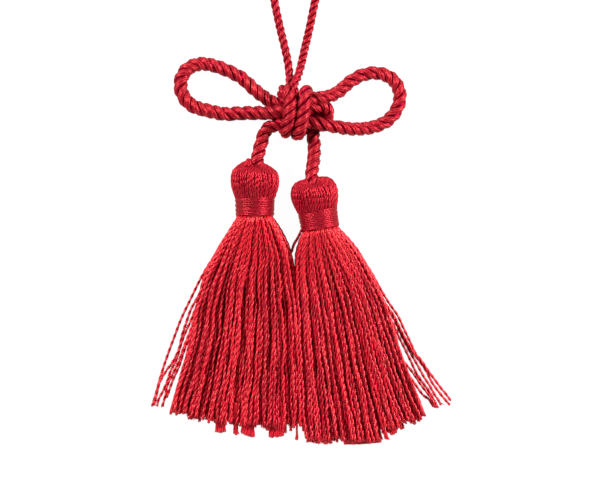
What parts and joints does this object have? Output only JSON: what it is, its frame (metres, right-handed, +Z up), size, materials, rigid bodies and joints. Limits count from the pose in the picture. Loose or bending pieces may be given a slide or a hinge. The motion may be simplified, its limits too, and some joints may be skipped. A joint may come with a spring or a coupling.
{
  "type": "tassel bow",
  "caption": "Twisted cord tied in a bow, with a hanging loop above the knot and yarn tassels below it, lying flat as a trimming.",
  "frame": {"origin": "on the surface that the part lies on, under the middle of the knot, at the knot's flattened underside", "axes": "+X to the right across the bow as seen from above, +Y from the tassels towards the hanging loop, +Z up, away from the surface"},
  "size_m": [0.0956, 0.1721, 0.0152],
  "materials": {
    "rope_yarn": "glossy viscose rope of three plies",
    "hanger_yarn": "glossy viscose cord",
    "tassel_yarn": "glossy twisted viscose fringe yarn",
    "binding_thread": "satin wound thread"
  },
  "bodies": {
    "root": {"bow_rope": "rope_yarn", "hanger_cord": "hanger_yarn", "tassel_left": "tassel_yarn", "tassel_right": "tassel_yarn", "binding_left": "binding_thread", "binding_right": "binding_thread"}
  },
  "joints": []
}
